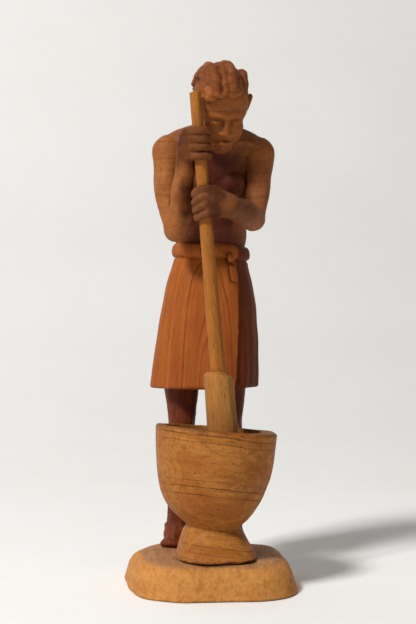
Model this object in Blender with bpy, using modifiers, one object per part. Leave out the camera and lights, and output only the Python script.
"""Carved wooden figure that pounds with a pestle in a mortar, on a slab base.

Lengths are in metres, +Z is up and the figure faces -Y, so its right hand lies towards -X.
The origin is the middle of the slab's underside. The figure is built up from separately carved
blocks, seated in one another and pinned with dowels. The pestle slides through both fists.
"""

import math

import bmesh
import bpy
import numpy as np
from mathutils import Matrix, Vector

MM = 0.001

# Fits
SEAT_GAP = 0.3 * MM
BORE_CLEARANCE = 0.15 * MM
WELD = 0.001 * MM

# Slab base
BASE_WIDTH = 63.5 * MM
BASE_DEPTH = 57.0 * MM
BASE_THICKNESS = 12.0 * MM
BASE_CORNER_RADIUS = 17.0 * MM
BASE_SIDE_SLOPE = 2.8 * MM
BASE_TOP_ROUND = 4.6 * MM
BASE_FOOT_ROUND = 0.8 * MM
BASE_TURN = math.radians(-4.5)
BASE_LEFT_TAPER = 0.13

# Mortar
FIGURE_SIDE = 1.0 * MM
MORTAR_FORWARD = 9.0 * MM
MORTAR_FOOT_RADIUS = 14.8 * MM
MORTAR_FOOT_EDGE = 1.2 * MM
MORTAR_FOOT_HEIGHT = 11.2 * MM
MORTAR_NECK_RADIUS = 10.1 * MM
MORTAR_BOWL_HEIGHT = 36.6 * MM
MORTAR_RIM_RADIUS = 22.7 * MM
MORTAR_WALL = 4.8 * MM
MORTAR_LIP_ROUND = 0.7 * MM
MORTAR_BOWL_DEPTH = 28.0 * MM
MORTAR_FLOOR_RADIUS = 11.0 * MM
MORTAR_RIM_RISE = 2.0 * MM

# Pestle
PESTLE_TIP_SIDE = 4.6 * MM
PESTLE_TIP_FORWARD = 2.0 * MM
PESTLE_HEAD_LENGTH = 49.5 * MM
PESTLE_HEAD_RADIUS = 5.8 * MM
PESTLE_HEAD_TAPER = 0.45 * MM
PESTLE_TIP_ROUND = 3.0 * MM
PESTLE_SHAFT_RADIUS = 2.85 * MM
PESTLE_TOP_RADIUS = 2.0 * MM
PESTLE_ABOVE_GRIP = 19.2 * MM
PESTLE_TRAVEL = 40.0 * MM

# Legs and feet
BODY_BACK = 19.5 * MM
LEG_LENGTH = 62.0 * MM
LEG_SPREAD = 9.4 * MM
LEG_TENON = 12.0 * MM
THIGH_RADIUS = 6.7 * MM
CALF_RADIUS = 5.8 * MM
ANKLE_RADIUS = 4.9 * MM
FOOT_LENGTH = 16.0 * MM
FOOT_RADIUS = 4.6 * MM
FOOT_SPLAY = math.radians(24)

# Wrapped skirt
SKIRT_LENGTH = 56.3 * MM
HEM_HALF_WIDTH = 21.0 * MM
HEM_HALF_DEPTH = 16.5 * MM
WAIST_HALF_WIDTH = 13.9 * MM
WAIST_HALF_DEPTH = 12.0 * MM
WAISTBAND_HEIGHT = 5.6 * MM
WAISTBAND_ROLL = 1.2 * MM
SKIRT_FOLD = 0.45 * MM
SKIRT_FOLDS = 9
WRAP_ANGLE = math.radians(32)
WRAP_LEAN = math.radians(7)
WRAP_STEP = 1.4 * MM
SIDE_SWELL = 1.3 * MM
KNOT_RADIUS = 2.0 * MM

# Torso
TORSO_LENGTH = 42.2 * MM
TORSO_LEAN = 11.0 * MM
WAIST_SIDE = 2.6 * MM
SHOULDER_SIDE = 2.1 * MM
TORSO_TENON = 9.0 * MM
BELLY_HALF_WIDTH = 14.0 * MM
BELLY_HALF_DEPTH = 9.6 * MM
CHEST_HALF_WIDTH = 13.6 * MM
CHEST_HALF_DEPTH = 10.2 * MM
BREAST_RADIUS = 4.6 * MM

# Arms and fists
SHOULDER_HALF_WIDTH = 18.0 * MM
SHOULDER_DROP = 7.0 * MM
SHOULDER_RADIUS = 5.2 * MM
UPPER_ARM_RADIUS = 4.7 * MM
ELBOW_RADIUS = 4.0 * MM
RIGHT_ARM_BOW = 1.7 * MM
RIGHT_FOREARM_RADIUS = 4.5 * MM
RIGHT_WRIST_RADIUS = 3.3 * MM
RIGHT_ELBOW_DROP = 38.1 * MM
RIGHT_ELBOW_FORWARD = 10.5 * MM
RIGHT_ELBOW_IN = 1.7 * MM
LEFT_ARM_BOW = 0.4 * MM
LEFT_FOREARM_RADIUS = 4.9 * MM
LEFT_WRIST_RADIUS = 3.9 * MM
LEFT_ELBOW_DROP = 33.6 * MM
LEFT_ELBOW_FORWARD = 8.5 * MM
LEFT_ELBOW_IN = 3.1 * MM
UPPER_GRIP_DROP = 7.3 * MM
LOWER_GRIP_DROP = 28.8 * MM
GRIP_REACH = 24.0 * MM
GRIP_SIDE = 9.3 * MM
FINGER_RADIUS = 1.66 * MM
FINGER_COUNT = 4
FINGER_OVERLAP = 0.3 * MM

# Head
HEAD_SIDE = 0.1 * MM
HEAD_FORWARD = 13.5 * MM
HEAD_ABOVE_SHOULDER = 8.4 * MM
HEAD_HALF_WIDTH = 9.7 * MM
HEAD_HALF_DEPTH = 12.6 * MM
HEAD_HALF_HEIGHT = 15.8 * MM
HEAD_NOD = math.radians(40)
HEAD_YAW = math.radians(6)
HEAD_ROLL = math.radians(-3)
NECK_RADIUS = 5.2 * MM
BRAID_RADIUS = 3.0 * MM
EAR_HEIGHT = 6.0 * MM
EAR_THICKNESS = 2.4 * MM
NOSE_RADIUS = 1.8 * MM
NECK_FORWARD = 1.5 * MM

# Braids of hair: place across the head as a share of its half width, thickness as a share of
# BRAID_RADIUS, and the arc from the forehead over the crown, in degrees
BRAIDS = (
    (-0.74, 0.7, 42, 165),
    (-0.5, 0.86, 45, 190),
    (-0.22, 0.72, 48, 202),
    (0.21, 0.8, 48, 204),
    (0.46, 0.78, 50, 192),
    (0.68, 0.72, 50, 165),
)

# Dowels
SMALL_DOWEL_RADIUS = 1.5 * MM
LARGE_DOWEL_RADIUS = 2.5 * MM
DOWEL_BITE = 6.0 * MM
DOWEL_CHAMFER = 0.4 * MM

# Facets
TURNED_STEPS = 36
PESTLE_STEPS = 20
BODY_SIDES = 28
SKIRT_SIDES = 40
BORE_SIDES = 32
LIMB_RESOLUTION = 4
FINGER_RESOLUTION = 2

# Places that several pieces share
BASE_TOP = BASE_THICKNESS
HEM_Z = BASE_TOP + LEG_LENGTH
WAIST_Z = HEM_Z + SKIRT_LENGTH
SHOULDER_Z = WAIST_Z + TORSO_LENGTH
RIM_Z = BASE_TOP + SEAT_GAP + MORTAR_FOOT_HEIGHT + MORTAR_BOWL_HEIGHT
FLOOR_Z = RIM_Z - MORTAR_BOWL_DEPTH
MORTAR_AXIS = Vector((FIGURE_SIDE, -MORTAR_FORWARD, 0))
WAIST_CENTRE = Vector((FIGURE_SIDE + WAIST_SIDE, BODY_BACK, WAIST_Z))
SHOULDER_CENTRE = Vector((FIGURE_SIDE + SHOULDER_SIDE, BODY_BACK - TORSO_LEAN, SHOULDER_Z))
HEAD_CENTRE = SHOULDER_CENTRE + Vector((HEAD_SIDE, -HEAD_FORWARD, HEAD_ABOVE_SHOULDER))
HEAD_TURN = (
    Matrix.Rotation(HEAD_YAW, 4, "Z") @ Matrix.Rotation(HEAD_ROLL, 4, "Y") @ Matrix.Rotation(HEAD_NOD, 4, "X")
)
HEAD_FRAME = Matrix.Translation(HEAD_CENTRE) @ HEAD_TURN
NECK_BASE = SHOULDER_CENTRE + Vector((0.3 * HEAD_SIDE, -NECK_FORWARD, 0))
PESTLE_TIP = MORTAR_AXIS + Vector((PESTLE_TIP_SIDE, -PESTLE_TIP_FORWARD, FLOOR_Z + SEAT_GAP))
UPPER_GRIP = Vector((
    SHOULDER_CENTRE.x - GRIP_SIDE,
    SHOULDER_CENTRE.y - GRIP_REACH,
    SHOULDER_Z - UPPER_GRIP_DROP,
))
PESTLE_DIRECTION = (UPPER_GRIP - PESTLE_TIP).normalized()
PESTLE_LENGTH = (UPPER_GRIP - PESTLE_TIP).length + PESTLE_ABOVE_GRIP


def on_pestle(height):
    """The point of the pestle's axis at this height above the table."""
    return PESTLE_TIP + PESTLE_DIRECTION * ((height - PESTLE_TIP.z) / PESTLE_DIRECTION.z)


LOWER_GRIP = on_pestle(SHOULDER_Z - LOWER_GRIP_DROP)
FIST_HEIGHT = FINGER_COUNT * (2 * FINGER_RADIUS - FINGER_OVERLAP) + FINGER_OVERLAP


def shaft_radius(along):
    """The pestle shaft's radius at this distance from the tip."""
    share = (along - PESTLE_HEAD_LENGTH) / (PESTLE_LENGTH - PESTLE_HEAD_LENGTH)
    return PESTLE_SHAFT_RADIUS + (PESTLE_TOP_RADIUS - PESTLE_SHAFT_RADIUS) * share


# At full lift the thickest stretch of shaft that reaches a fist comes from this far below the lower one.
THICKEST_ALONG = (LOWER_GRIP - PESTLE_TIP).length - FIST_HEIGHT / 2 - PESTLE_TRAVEL
BORE_RADIUS = (shaft_radius(THICKEST_ALONG) + BORE_CLEARANCE) / math.cos(math.pi / BORE_SIDES)
GRIP_RADIUS = BORE_RADIUS + 0.14 * FINGER_RADIUS


# Modelling helpers

def mesh_object(name, mesh):
    obj = bpy.data.objects.new(name, mesh)
    bpy.context.scene.collection.objects.link(obj)
    return obj


def bmesh_object(name, bm):
    mesh = bpy.data.meshes.new(name)
    bmesh.ops.recalc_face_normals(bm, faces=bm.faces)
    bm.to_mesh(mesh)
    bm.free()
    return mesh_object(name, mesh)


def evaluated_copy(obj, weld=0.0):
    """A plain mesh object of triangles with obj's curve or modifiers worked out. obj is removed."""
    bpy.context.view_layer.update()
    graph = bpy.context.evaluated_depsgraph_get()
    mesh = bpy.data.meshes.new_from_object(obj.evaluated_get(graph))
    bm = bmesh.new()
    bm.from_mesh(mesh)
    bmesh.ops.triangulate(bm, faces=bm.faces)
    if weld:
        bmesh.ops.remove_doubles(bm, verts=bm.verts, dist=weld)
    bm.to_mesh(mesh)
    bm.free()
    copy = mesh_object(obj.name, mesh)
    copy.matrix_world = obj.matrix_world.copy()
    bpy.data.objects.remove(obj)
    return copy


def boolean(obj, others, operation):
    """obj joined with, or cut by, the other mesh objects in turn, which are removed."""
    for other in others:
        step = obj.modifiers.new(operation.lower(), "BOOLEAN")
        step.operation = operation
        step.solver = "EXACT"
        step.object = other
        obj = evaluated_copy(obj)
        bpy.data.objects.remove(other)
    return obj


def fuse(pieces):
    return boolean(pieces[0], pieces[1:], "UNION")


def cut(obj, cutters):
    return boolean(obj, cutters, "DIFFERENCE")


def smooth_path(keys, count):
    """Evenly spread samples of a smooth curve through the key rows, such as x, y, z and radius."""
    rows = np.array([tuple(key) for key in keys], float)
    rows = np.vstack([2 * rows[0] - rows[1], rows, 2 * rows[-1] - rows[-2]])
    samples = []
    for place in np.linspace(0, len(rows) - 3, count):
        i = min(int(place), len(rows) - 4)
        t = place - i
        a, b, c, d = rows[i:i + 4]
        samples.append(0.5 * (2 * b + (c - a) * t + (2 * a - 5 * b + 4 * c - d) * t**2
                              + (3 * b - a - 3 * c + d) * t**3))
    return samples


def rounded_ends(samples):
    """The samples with a half-ball of shrinking rings added at each end."""
    angles = [math.radians(a) for a in (33, 66)]
    ends = []
    for first, second in ((samples[0], samples[1]), (samples[-1], samples[-2])):
        out = (first[:3] - second[:3]) / np.linalg.norm(first[:3] - second[:3])
        radius = first[3]
        ends.append([np.append(first[:3] + out * radius * math.sin(a), radius * math.cos(a)) for a in angles])
    return ends[0][::-1] + list(samples) + ends[1]


def tube(keys, count, resolution=LIMB_RESOLUTION, grow=0.0):
    """A round-ended limb through the keys, each a point and a radius. grow widens it all round."""
    samples = smooth_path([(*point, radius + grow) for point, radius in keys], count)
    samples = rounded_ends(samples)
    curve = bpy.data.curves.new("tube", "CURVE")
    curve.dimensions = "3D"
    curve.bevel_depth = 1.0
    curve.bevel_resolution = resolution
    curve.use_fill_caps = True
    spline = curve.splines.new("POLY")
    spline.points.add(len(samples) - 1)
    for point, (x, y, z, radius) in zip(spline.points, samples):
        point.co = (x, y, z, 1)
        point.radius = radius
    obj = bpy.data.objects.new("tube", curve)
    bpy.context.scene.collection.objects.link(obj)
    return evaluated_copy(obj, WELD)


def ball(frame, radii, segments=20, rings=12):
    """An ellipsoid with these half-axes, placed by a matrix."""
    bm = bmesh.new()
    bmesh.ops.create_uvsphere(bm, u_segments=segments, v_segments=rings, radius=1.0)
    bmesh.ops.transform(bm, matrix=frame @ Matrix.Diagonal((*radii, 1.0)), verts=bm.verts)
    return bmesh_object("ball", bm)


def rod(start, end, radius, sides=20, chamfer=0.0):
    """A cylinder from one point to another, with its end edges broken by the chamfer."""
    along = end - start
    bm = bmesh.new()
    bmesh.ops.create_cone(
        bm, cap_ends=True, segments=sides, radius1=radius, radius2=radius, depth=along.length
    )
    if chamfer:
        ends = [e for e in bm.edges if abs(e.verts[0].co.z - e.verts[1].co.z) < 0.01 * MM]
        bmesh.ops.bevel(bm, geom=ends, offset=chamfer, segments=1, affect="EDGES")
    turn = along.to_track_quat("Z", "Y").to_matrix().to_4x4()
    bmesh.ops.transform(bm, matrix=Matrix.Translation((start + end) / 2) @ turn, verts=bm.verts)
    return bmesh_object("rod", bm)


def loft(rings):
    """A closed skin over rings of points, capped at both ends."""
    bm = bmesh.new()
    loops = [[bm.verts.new(point) for point in ring] for ring in rings]
    for lower, upper in zip(loops, loops[1:]):
        for i in range(len(lower)):
            j = (i + 1) % len(lower)
            bm.faces.new((lower[i], lower[j], upper[j], upper[i]))
    bm.faces.new(loops[0][::-1])
    bm.faces.new(loops[-1])
    return bmesh_object("loft", bm)


def block(low, high):
    """A box between two corners."""
    bm = bmesh.new()
    bmesh.ops.create_cube(bm, size=1.0)
    size = Matrix.Diagonal((*(high - low), 1.0))
    bmesh.ops.transform(bm, matrix=Matrix.Translation((low + high) / 2) @ size, verts=bm.verts)
    return bmesh_object("block", bm)


def oval(centre, half_width, half_depth, sides=BODY_SIDES):
    """A level ring of points."""
    return [
        centre + Vector((half_width * math.sin(a), -half_depth * math.cos(a), 0))
        for a in np.linspace(0, 2 * math.pi, sides, endpoint=False)
    ]


def turned(profile, steps):
    """A profile of (radius, height) points, which runs down its outer side, turned about Z."""
    mesh = bpy.data.meshes.new("turned")
    edges = [(i, i + 1) for i in range(len(profile) - 1)]
    mesh.from_pydata([(radius, 0, height) for radius, height in profile], edges, [])
    obj = mesh_object("turned", mesh)
    screw = obj.modifiers.new("turn", "SCREW")
    screw.steps = steps
    screw.render_steps = steps
    screw.use_merge_vertices = True
    screw.merge_threshold = 0.01 * MM
    return evaluated_copy(obj, WELD)


def wood(name, colour, roughness):
    material = bpy.data.materials.new(name)
    material.use_nodes = True
    shader = material.node_tree.nodes["Principled BSDF"]
    shader.inputs["Base Color"].default_value = (*colour, 1.0)
    shader.inputs["Roughness"].default_value = roughness
    shader.inputs["Metallic"].default_value = 0.0
    return material


# Slab, mortar and pestle

def base_slab():
    """The slab, wider at its foot and narrower at the front left, with round corners and a soft top edge."""
    bm = bmesh.new()
    bmesh.ops.create_cube(bm, size=1.0)
    size = Matrix.Diagonal((BASE_WIDTH, BASE_DEPTH, BASE_THICKNESS, 1.0))
    bmesh.ops.transform(bm, matrix=Matrix.Translation((0, 0, BASE_THICKNESS / 2)) @ size, verts=bm.verts)
    upright = [e for e in bm.edges if abs(e.verts[0].co.z - e.verts[1].co.z) > BASE_THICKNESS / 2]
    bmesh.ops.bevel(bm, geom=upright, offset=BASE_CORNER_RADIUS, segments=7, profile=0.5, affect="EDGES")
    for vert in bm.verts:
        if vert.co.x < 0:
            vert.co.x += BASE_LEFT_TAPER * (0.36 * BASE_DEPTH - vert.co.y)
        if vert.co.z > BASE_THICKNESS / 2:
            vert.co.x -= math.copysign(BASE_SIDE_SLOPE, vert.co.x)
            vert.co.y -= math.copysign(BASE_SIDE_SLOPE, vert.co.y)
    for height, offset, segments in ((BASE_THICKNESS, BASE_TOP_ROUND, 3), (0.0, BASE_FOOT_ROUND, 1)):
        edges = [e for e in bm.edges if all(abs(v.co.z - height) < 0.01 * MM for v in e.verts)]
        bmesh.ops.bevel(bm, geom=edges, offset=offset, segments=segments, profile=0.5, affect="EDGES")
    bmesh.ops.transform(bm, matrix=Matrix.Rotation(BASE_TURN, 4, "Z"), verts=bm.verts)
    return bmesh_object("base_slab", bm)


def bowl_profile(share):
    """How far the bowl's outer side has swelled from neck to rim, at this share of its height."""
    return 0.85 * (1 - (1 - share) ** 3) + 0.15 * share


def mortar():
    """A footed bowl, hollowed from the rim, whose rim is carved a little higher on one side."""
    bottom = BASE_TOP + SEAT_GAP
    neck = bottom + MORTAR_FOOT_HEIGHT
    mouth = MORTAR_RIM_RADIUS - MORTAR_WALL
    profile = [(0.0, FLOOR_Z), (0.8 * MORTAR_FLOOR_RADIUS, FLOOR_Z)]
    for share in np.linspace(0.03, 1, 7):
        swell = 1 - (1 - share) ** 2.2
        height = FLOOR_Z + share * (MORTAR_BOWL_DEPTH - MORTAR_LIP_ROUND)
        profile.append((MORTAR_FLOOR_RADIUS + swell * (mouth - MORTAR_FLOOR_RADIUS), height))
    profile.append((mouth + MORTAR_LIP_ROUND, RIM_Z))
    profile.append((MORTAR_RIM_RADIUS - MORTAR_LIP_ROUND, RIM_Z))
    for share in np.linspace(1, 0, 9):
        radius = MORTAR_NECK_RADIUS + bowl_profile(share) * (MORTAR_RIM_RADIUS - MORTAR_NECK_RADIUS)
        profile.append((radius, neck + share * (MORTAR_BOWL_HEIGHT - MORTAR_LIP_ROUND)))
    for share in (0.35, 0.7):
        radius = MORTAR_NECK_RADIUS + share**1.3 * (MORTAR_FOOT_RADIUS - MORTAR_NECK_RADIUS)
        profile.append((radius, neck - share * MORTAR_FOOT_HEIGHT))
    profile.append((MORTAR_FOOT_RADIUS, bottom + MORTAR_FOOT_EDGE))
    profile.append((MORTAR_FOOT_RADIUS - 0.5 * MORTAR_FOOT_EDGE, bottom))
    profile.append((0.0, bottom))
    obj = turned(profile, TURNED_STEPS)
    for vert in obj.data.vertices:
        lifted = max(0.0, (vert.co.z - FLOOR_Z) / MORTAR_BOWL_DEPTH)
        vert.co.z -= MORTAR_RIM_RISE * lifted**2 * vert.co.x / MORTAR_RIM_RADIUS
    obj.data.transform(Matrix.Translation(MORTAR_AXIS))
    return obj


def pestle():
    """A straight stick along local Z: a long pounding head, a cut shoulder and a tapering shaft."""
    top = PESTLE_HEAD_RADIUS - PESTLE_HEAD_TAPER
    shoulder = 0.25 * (top - PESTLE_SHAFT_RADIUS)
    profile = [
        (0.0, PESTLE_LENGTH),
        (PESTLE_TOP_RADIUS, PESTLE_LENGTH),
        (PESTLE_SHAFT_RADIUS, PESTLE_HEAD_LENGTH),
        (top - shoulder, PESTLE_HEAD_LENGTH),
        (top, PESTLE_HEAD_LENGTH - 1.5 * shoulder),
        (PESTLE_HEAD_RADIUS, PESTLE_TIP_ROUND),
        (0.9 * PESTLE_HEAD_RADIUS, 0.45 * PESTLE_TIP_ROUND),
        (0.62 * PESTLE_HEAD_RADIUS, 0.15 * PESTLE_TIP_ROUND),
        (0.0, 0.0),
    ]
    return turned(profile, PESTLE_STEPS)


# Lower body

def ankle(side):
    """The middle of the ankle, straight above the foot's dowel. side is -1 for the figure's right."""
    return Vector((FIGURE_SIDE + 1.1 * side * LEG_SPREAD, BODY_BACK, BASE_TOP + SEAT_GAP + ANKLE_RADIUS))


def shank(side, grow=0.0):
    """A leg without its foot, from the tenon inside the skirt down to the slab."""
    stations = [
        (0.95, 0.0, LEG_LENGTH + LEG_TENON, THIGH_RADIUS),
        (1.0, 0.0, LEG_LENGTH, THIGH_RADIUS),
        (1.0, 0.5 * MM, 0.72 * LEG_LENGTH, 0.92 * CALF_RADIUS),
        (1.03, 0.18 * CALF_RADIUS, 0.48 * LEG_LENGTH, CALF_RADIUS),
        (1.08, 0.4 * MM, 0.2 * LEG_LENGTH, ANKLE_RADIUS),
    ]
    keys = []
    for spread, back, height, radius in stations:
        place = Vector((FIGURE_SIDE + spread * side * LEG_SPREAD, BODY_BACK + back, BASE_TOP + height))
        keys.append((place, radius))
    keys.append((ankle(side), ANKLE_RADIUS))
    return tube(keys, 14, grow=grow)


def leg(side):
    """A leg with a foot that points forward and outward."""
    heel = ankle(side) + Vector((0, 0.22 * FOOT_RADIUS, 0.7 * FOOT_RADIUS - ANKLE_RADIUS))
    outward = Vector((side * math.sin(FOOT_SPLAY), -math.cos(FOOT_SPLAY), 0))
    toes = outward * (FOOT_LENGTH - 2 * FOOT_RADIUS)
    keys = [(heel, 0.86 * FOOT_RADIUS), (heel + 0.5 * toes, FOOT_RADIUS), (heel + toes, 0.8 * FOOT_RADIUS)]
    corner = Vector((BASE_WIDTH, BASE_DEPTH, BASE_TOP + SEAT_GAP))
    below_sole = block(Vector((-BASE_WIDTH, -BASE_DEPTH, -BASE_TOP)), corner)
    return cut(fuse([shank(side), tube(keys, 6)]), [below_sole])


def skirt_point(height, angle, out=0.0):
    """A point this far outside the skirt's plain oval, at an angle from the front towards +X."""
    share = height / SKIRT_LENGTH
    half_width = HEM_HALF_WIDTH + (WAIST_HALF_WIDTH - HEM_HALF_WIDTH) * share
    half_depth = HEM_HALF_DEPTH + (WAIST_HALF_DEPTH - HEM_HALF_DEPTH) * share
    return Vector((
        FIGURE_SIDE + share * WAIST_SIDE + (half_width + out) * math.sin(angle),
        BODY_BACK - (half_depth + out) * math.cos(angle),
        HEM_Z + height,
    ))


def skirt_ring(height):
    """A ring round the skirt at this height above the hem. It starts and ends at the wrap-over edge."""
    share = height / SKIRT_LENGTH
    into_band = (height - SKIRT_LENGTH + WAISTBAND_HEIGHT) / WAISTBAND_HEIGHT
    roll = WAISTBAND_ROLL * math.sqrt(max(0.0, 1 - (2 * into_band - 1) ** 2))
    ring = []
    for round_share in np.append(np.linspace(0, 1, SKIRT_SIDES, endpoint=False), 0.997):
        angle = WRAP_ANGLE + WRAP_LEAN * share + 2 * math.pi * round_share
        fold = SKIRT_FOLD * (1 - share) * math.cos(SKIRT_FOLDS * angle)
        wrap = WRAP_STEP * max(0.0, 2.2 * round_share - 1.2) if into_band < 0 else 0.0
        swell = SIDE_SWELL * math.sin(math.pi * share) * max(0.0, math.sin(angle))
        ring.append(skirt_point(height, angle, fold + wrap + roll + swell))
    return ring


def skirt():
    """The wrapped cloth with its rolled waistband, knot and hanging end, before its sockets are cut."""
    band = SKIRT_LENGTH - WAISTBAND_HEIGHT
    heights = [share * band for share in (0, 0.015, 0.2, 0.4, 0.6, 0.8, 0.985)]
    heights += [band + share * WAISTBAND_HEIGHT for share in (0.0, 0.07, 0.25, 0.5, 0.75, 0.93, 1.0)]
    cloth = loft([skirt_ring(height) for height in heights])
    knot_place = skirt_point(band + 0.3 * WAISTBAND_HEIGHT, WRAP_ANGLE - 0.1) + Vector((0, -WAISTBAND_ROLL, 0))
    knot = ball(Matrix.Translation(knot_place), (KNOT_RADIUS, 0.9 * KNOT_RADIUS, 1.1 * KNOT_RADIUS), 12, 8)
    end_keys = [
        (knot_place, 0.6 * KNOT_RADIUS),
        (skirt_point(band - 0.4 * WAISTBAND_HEIGHT, WRAP_ANGLE - 0.06), 0.7 * KNOT_RADIUS),
        (skirt_point(band - 1.4 * WAISTBAND_HEIGHT, WRAP_ANGLE - 0.04, WRAP_STEP), 0.75 * KNOT_RADIUS),
    ]
    return fuse([cloth, knot, tube(end_keys, 6, FINGER_RESOLUTION)])


# Upper body

def trunk(grow=0.0):
    """Belly and chest as one leaning column, from the tenon inside the skirt to the shoulders."""
    reach = SHOULDER_HALF_WIDTH - 0.4 * SHOULDER_RADIUS
    stations = [
        (-TORSO_TENON / TORSO_LENGTH, 0.76 * BELLY_HALF_WIDTH, 0.86 * BELLY_HALF_DEPTH),
        (0.0, 0.9 * BELLY_HALF_WIDTH, BELLY_HALF_DEPTH),
        (0.15, BELLY_HALF_WIDTH, BELLY_HALF_DEPTH),
        (0.38, 0.95 * BELLY_HALF_WIDTH, BELLY_HALF_DEPTH),
        (0.65, CHEST_HALF_WIDTH, CHEST_HALF_DEPTH),
        (0.88, reach, 0.84 * CHEST_HALF_DEPTH),
        (1.0, 0.8 * reach, 0.66 * CHEST_HALF_DEPTH),
        (1.06, 0.5 * reach, 0.4 * CHEST_HALF_DEPTH),
    ]
    keys = []
    for share, half_width, half_depth in stations:
        centre = WAIST_CENTRE.lerp(SHOULDER_CENTRE, max(0.0, share))
        centre.z = WAIST_Z + share * TORSO_LENGTH
        keys.append((*centre, half_width + grow, half_depth + grow))
    rings = smooth_path(keys, 17)
    rings[0][2] -= grow
    rings[-1][2] += grow
    return loft([oval(Vector(row[:3]), row[3], row[4]) for row in rings])


def shoulder_slope(side):
    """The rounded slope from the neck down to a shoulder."""
    keys = []
    for share in (0.25, 0.5, 0.75):
        across = side * (0.11 + 0.89 * share) * SHOULDER_HALF_WIDTH
        drop = (0.12 + 0.23 * share + 0.96 * share**3) * SHOULDER_RADIUS
        keys.append((SHOULDER_CENTRE + Vector((across, 0.1 * SHOULDER_RADIUS, -drop)), 0.84 * SHOULDER_RADIUS))
    return tube(keys, 6)


def torso():
    """The trunk with shoulder slopes and modest chest forms, before its seats are cut."""
    pieces = [trunk()]
    for side in (-1, 1):
        pieces.append(shoulder_slope(side))
        place = WAIST_CENTRE.lerp(SHOULDER_CENTRE, 0.55)
        place += Vector((0.5 * side * CHEST_HALF_WIDTH, -0.8 * CHEST_HALF_DEPTH, 0))
        radii = (BREAST_RADIUS, 0.85 * BREAST_RADIUS, BREAST_RADIUS)
        pieces.append(ball(Matrix.Translation(place), radii, 14, 9))
    return fuse(pieces)


def shoulder(side):
    return SHOULDER_CENTRE + Vector((side * SHOULDER_HALF_WIDTH, 0, -SHOULDER_DROP))


def elbow(side):
    inward, forward, drop = {
        -1: (RIGHT_ELBOW_IN, RIGHT_ELBOW_FORWARD, RIGHT_ELBOW_DROP),
        1: (LEFT_ELBOW_IN, LEFT_ELBOW_FORWARD, LEFT_ELBOW_DROP),
    }[side]
    return SHOULDER_CENTRE + Vector((side * (SHOULDER_HALF_WIDTH - inward), -forward, -drop))


def upper_arm(side, grow=0.0):
    bow = {-1: RIGHT_ARM_BOW, 1: LEFT_ARM_BOW}[side]
    middle = shoulder(side).lerp(elbow(side), 0.5) + Vector((side * bow, 0.17 * UPPER_ARM_RADIUS, 0))
    keys = [(shoulder(side), SHOULDER_RADIUS), (middle, UPPER_ARM_RADIUS), (elbow(side), ELBOW_RADIUS)]
    return tube(keys, 9, grow=grow)


def round_pestle(grip, angle, rise, radius):
    """A point at this angle round the pestle's axis, 0 towards +X, this far above the grip's middle."""
    across = Vector((1, 0, 0)) - PESTLE_DIRECTION * PESTLE_DIRECTION.x
    across.normalize()
    back = PESTLE_DIRECTION.cross(across)
    turn = math.radians(angle)
    return grip + PESTLE_DIRECTION * rise + (across * math.cos(turn) + back * math.sin(turn)) * radius


def fist(grip, knuckles, sweep, stagger, palm_angle):
    """A palm beside the pestle and stacked fingers that curl round it, as a list of pieces."""
    palm_place = round_pestle(grip, palm_angle, -0.17 * FINGER_RADIUS, GRIP_RADIUS + 0.9 * FINGER_RADIUS)
    palm_radii = (2.1 * FINGER_RADIUS, 2.2 * FINGER_RADIUS, 0.46 * FIST_HEIGHT)
    pieces = [ball(Matrix.Translation(palm_place), palm_radii, 14, 9)]
    step = 2 * FINGER_RADIUS - FINGER_OVERLAP
    for finger in range(FINGER_COUNT):
        rise = (0.5 * (FINGER_COUNT - 1) - finger) * step
        first = knuckles + stagger * finger
        keys = []
        for share, thickness in ((0, 1.0), (0.3, 1.05), (0.65, 1.0), (1, 0.85)):
            place = round_pestle(grip, first + sweep * share, rise, GRIP_RADIUS)
            keys.append((place, thickness * FINGER_RADIUS))
        pieces.append(tube(keys, 7, FINGER_RESOLUTION))
    joint_reach = GRIP_RADIUS + 0.5 * FINGER_RADIUS
    joint = round_pestle(grip, palm_angle - 0.14 * sweep, 0.3 * FIST_HEIGHT, joint_reach)
    tip = round_pestle(grip, palm_angle - 0.32 * sweep, 0.44 * FIST_HEIGHT, joint_reach)
    thumb = [(palm_place, 1.1 * FINGER_RADIUS), (joint, FINGER_RADIUS), (tip, 0.85 * FINGER_RADIUS)]
    return pieces + [tube(thumb, 6, FINGER_RESOLUTION)]


def arm(side):
    """Upper arm, forearm and fist, drilled for the pestle."""
    if side < 0:
        grip = UPPER_GRIP
        palm_angle = 166
        fingers = fist(grip, knuckles=194, sweep=204, stagger=0, palm_angle=palm_angle)
        wrist = round_pestle(grip, 143, -0.76 * FIST_HEIGHT, GRIP_RADIUS + 2.2 * FINGER_RADIUS)
        forearm_radius, wrist_radius = RIGHT_FOREARM_RADIUS, RIGHT_WRIST_RADIUS
    else:
        grip = LOWER_GRIP
        palm_angle = 316
        fingers = fist(grip, knuckles=248, sweep=-206, stagger=13, palm_angle=palm_angle)
        wrist = round_pestle(grip, 341, -0.15 * FIST_HEIGHT, GRIP_RADIUS + 3.8 * FINGER_RADIUS)
        forearm_radius, wrist_radius = LEFT_FOREARM_RADIUS, LEFT_WRIST_RADIUS
    palm = round_pestle(grip, palm_angle, -0.15 * FIST_HEIGHT, GRIP_RADIUS + 0.9 * FINGER_RADIUS)
    forearm = tube(
        [
            (elbow(side), 0.9 * ELBOW_RADIUS),
            (elbow(side).lerp(wrist, 0.4), forearm_radius),
            (wrist, wrist_radius),
            (palm, 0.9 * wrist_radius),
        ],
        10,
    )
    reach = PESTLE_DIRECTION * FIST_HEIGHT
    return cut(
        fuse([upper_arm(side), forearm] + fingers),
        [rod(grip - reach, grip + reach, BORE_RADIUS, BORE_SIDES)],
    )


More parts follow.
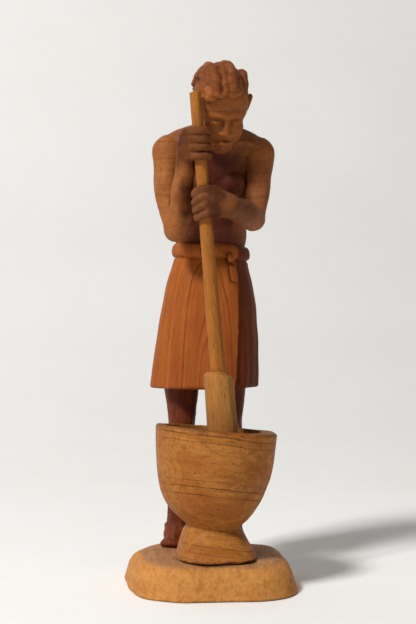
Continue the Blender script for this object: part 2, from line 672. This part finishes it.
def neck(grow=0.0):
    low = NECK_BASE.lerp(HEAD_CENTRE, 0.12)
    keys = [(low, NECK_RADIUS), (NECK_BASE.lerp(HEAD_CENTRE, 0.5), NECK_RADIUS), (HEAD_CENTRE, NECK_RADIUS)]
    return tube(keys, 6, grow=grow)


def skull(grow=0.0):
    radii = (HEAD_HALF_WIDTH + grow, HEAD_HALF_DEPTH + grow, HEAD_HALF_HEIGHT + grow)
    return ball(HEAD_FRAME, radii, 24, 16)


def jaw(grow=0.0):
    place = Matrix.Translation((0, -0.38 * HEAD_HALF_DEPTH, -0.62 * HEAD_HALF_HEIGHT))
    radii = (0.62 * HEAD_HALF_WIDTH + grow, 0.5 * HEAD_HALF_DEPTH + grow, 0.42 * HEAD_HALF_HEIGHT + grow)
    return ball(HEAD_FRAME @ place, radii, 16, 10)


def head():
    """Skull, jaw, nose, ears, neck and front-to-back braids of hair, joined in one block."""
    width, depth, height = HEAD_HALF_WIDTH, HEAD_HALF_DEPTH, HEAD_HALF_HEIGHT
    pieces = [skull(), jaw(), neck()]
    nose = [
        (HEAD_FRAME @ Vector((0, -0.93 * depth, 0.1 * height)), 0.55 * NOSE_RADIUS),
        (HEAD_FRAME @ Vector((0, -1.02 * depth, -0.2 * height)), NOSE_RADIUS),
    ]
    pieces.append(tube(nose, 4, FINGER_RESOLUTION))
    for side in (-1, 1):
        ear = Matrix.Translation((1.06 * side * width, 0.1 * depth, -0.02 * height))
        ear_radii = (0.5 * EAR_THICKNESS, 0.34 * EAR_HEIGHT, 0.5 * EAR_HEIGHT)
        pieces.append(ball(HEAD_FRAME @ ear, ear_radii, 10, 7))
    for across, thickness, start, end in BRAIDS:
        share = 0.97 * math.sqrt(1 - (0.9 * across) ** 2)
        keys = []
        for turn in np.radians(np.linspace(start, end, 7)):
            place = Vector((across * width, -depth * share * math.cos(turn), height * share * math.sin(turn)))
            keys.append((HEAD_FRAME @ place, thickness * BRAID_RADIUS))
        pieces.append(tube(keys, 9, FINGER_RESOLUTION + 1))
    return fuse(pieces)


def shaft_groove():
    """The room that the shaft needs in front of the hair, at any lift."""
    return rod(LOWER_GRIP, on_pestle(SHOULDER_Z + 3 * HEAD_HALF_HEIGHT), BORE_RADIUS, BORE_SIDES)


# Dowels, each as its two end points and radius

def dowel_ends(name):
    up = Vector((0, 0, DOWEL_BITE))
    if name == "mortar_dowel":
        middle = MORTAR_AXIS + Vector((0, 0, BASE_TOP))
        return middle - up, middle + up, LARGE_DOWEL_RADIUS
    if name == "neck_dowel":
        along = (HEAD_CENTRE - NECK_BASE).normalized() * DOWEL_BITE
        return NECK_BASE - 0.8 * along, NECK_BASE + 1.4 * along, LARGE_DOWEL_RADIUS
    side = -1 if name.startswith("right") else 1
    if "foot" in name:
        middle = ankle(side)
        middle.z = BASE_TOP
        return middle - up, middle + up, SMALL_DOWEL_RADIUS
    inward = Vector((-side, 0, 0))
    return shoulder(side), shoulder(side) + inward * (SHOULDER_RADIUS + DOWEL_BITE), SMALL_DOWEL_RADIUS


def dowel(name):
    start, end, radius = dowel_ends(name)
    return rod(start, end, radius, sides=16, chamfer=DOWEL_CHAMFER)


def dowel_hole(name):
    start, end, radius = dowel_ends(name)
    along = (end - start).normalized() * SEAT_GAP
    return rod(start - along, end + along, radius + SEAT_GAP, sides=16)


# Assembly

def build():
    for obj in list(bpy.data.objects):
        bpy.data.objects.remove(obj)
    parts = bpy.data.collections.new("pounding_figure")
    bpy.context.scene.collection.children.link(parts)
    golden = (0.52, 0.27, 0.085)
    straw = (0.58, 0.32, 0.105)
    orange = (0.36, 0.125, 0.04)
    brown = (0.27, 0.115, 0.05)
    maroon = (0.075, 0.026, 0.02)
    slab_holes = [dowel_hole(name) for name in ("mortar_dowel", "right_foot_dowel", "left_foot_dowel")]
    torso_holes = [dowel_hole(name) for name in ("neck_dowel", "right_shoulder_dowel", "left_shoulder_dowel")]
    torso_seats = [upper_arm(side, SEAT_GAP) for side in (-1, 1)]
    torso_seats += [neck(SEAT_GAP), skull(SEAT_GAP), jaw(SEAT_GAP)]
    skirt_sockets = [trunk(SEAT_GAP), shank(-1, SEAT_GAP), shank(1, SEAT_GAP)]
    pieces = {
        "base_slab": (cut(base_slab(), slab_holes), golden),
        "mortar": (cut(mortar(), [dowel_hole("mortar_dowel")]), golden),
        "pestle": (pestle(), straw),
        "skirt": (cut(skirt(), skirt_sockets), orange),
        "torso": (cut(torso(), torso_seats + torso_holes), maroon),
        "head": (cut(head(), [dowel_hole("neck_dowel"), shaft_groove()]), brown),
        "right_arm": (cut(arm(-1), [dowel_hole("right_shoulder_dowel")]), brown),
        "left_arm": (cut(arm(1), [dowel_hole("left_shoulder_dowel")]), brown),
        "right_leg": (cut(leg(-1), [dowel_hole("right_foot_dowel")]), maroon),
        "left_leg": (cut(leg(1), [dowel_hole("left_foot_dowel")]), maroon),
    }
    for place in ("mortar", "neck", "right_shoulder", "left_shoulder", "right_foot", "left_foot"):
        name = place + "_dowel"
        pieces[name] = (dowel(name), straw)
    pestle_axis = bpy.data.objects.new("pestle_axis", None)
    pestle_axis.location = PESTLE_TIP
    pestle_axis.rotation_mode = "QUATERNION"
    pestle_axis.rotation_quaternion = PESTLE_DIRECTION.to_track_quat("Z", "Y")
    parts.objects.link(pestle_axis)
    for name, (obj, colour) in pieces.items():
        obj.name = name
        obj.data.name = name
        obj.data.materials.clear()
        obj.data.materials.append(wood(name + "_wood", colour, 0.5))
        bpy.context.scene.collection.objects.unlink(obj)
        parts.objects.link(obj)
    pieces["pestle"][0].parent = pestle_axis


build()
